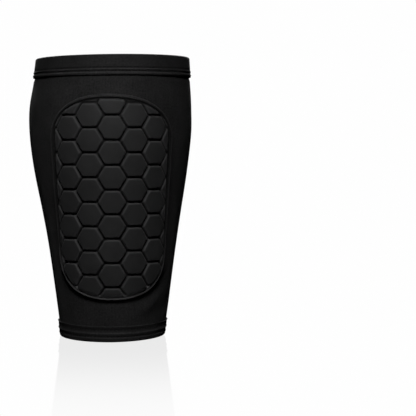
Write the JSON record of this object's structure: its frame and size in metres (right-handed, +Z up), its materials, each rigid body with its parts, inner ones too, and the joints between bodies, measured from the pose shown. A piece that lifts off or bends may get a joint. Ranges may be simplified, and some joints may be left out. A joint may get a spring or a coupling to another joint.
{
  "type": "shin guard",
  "caption": "Knitted calf sleeve open at both ends, with folded hems and a honeycomb foam pad sewn on the shin.",
  "frame": {"origin": "under the middle of the part's box, on the flat end of the ankle hem", "axes": "+Z up the leg from ankle to knee, -Y out of the padded shin, -X to the outer side of the leg"},
  "size_m": [0.1318, 0.1364, 0.225],
  "materials": {
    "knit": "matte",
    "hem": "matte",
    "elastic": "matte",
    "cover": "matte",
    "binding": "matte",
    "foam": "matte",
    "thread": "satin"
  },
  "bodies": {
    "root": {"back_seam": "thread", "bottom_band": "hem", "bottom_elastic": "elastic", "bottom_hem_thread_lower": "thread", "bottom_hem_thread_upper": "thread", "edge_foam_inner": "foam", "edge_foam_outer": "foam", "foam_block_a1": "foam", "foam_block_a2": "foam", "foam_block_a3": "foam", "foam_block_a4": "foam", "foam_block_a5": "foam", "foam_block_a6": "foam", "foam_block_a7": "foam", "foam_block_a8": "foam", "foam_block_b2": "foam", "foam_block_b3": "foam", "foam_block_b4": "foam", "foam_block_b5": "foam", "foam_block_b6": "foam", "foam_block_b7": "foam", "foam_block_b8": "foam", "foam_block_b9": "foam", "foam_block_c1": "foam", "foam_block_c2": "foam", "foam_block_c3": "foam", "foam_block_c4": "foam", "foam_block_c5": "foam", "foam_block_c6": "foam", "foam_block_c7": "foam", "foam_block_c8": "foam", "foam_block_c9": "foam", "foam_block_d2": "foam", "foam_block_d3": "foam", "foam_block_d4": "foam", "foam_block_d5": "foam", "foam_block_d6": "foam", "foam_block_d7": "foam", "foam_block_d8": "foam", "foam_block_d9": "foam", "foam_block_e1": "foam", "foam_block_e2": "foam", "foam_block_e3": "foam", "foam_block_e4": "foam", "foam_block_e5": "foam", "foam_block_e6": "foam", "foam_block_e7": "foam", "foam_block_e8": "foam", "pad_backing": "knit", "pad_cover": "cover", "pad_edge_binding": "binding", "pad_edge_thread": "thread", "sleeve_body": "knit", "top_band": "hem", "top_elastic": "elastic", "top_hem_thread_lower": "thread", "top_hem_thread_upper": "thread"}
  },
  "joints": []
}
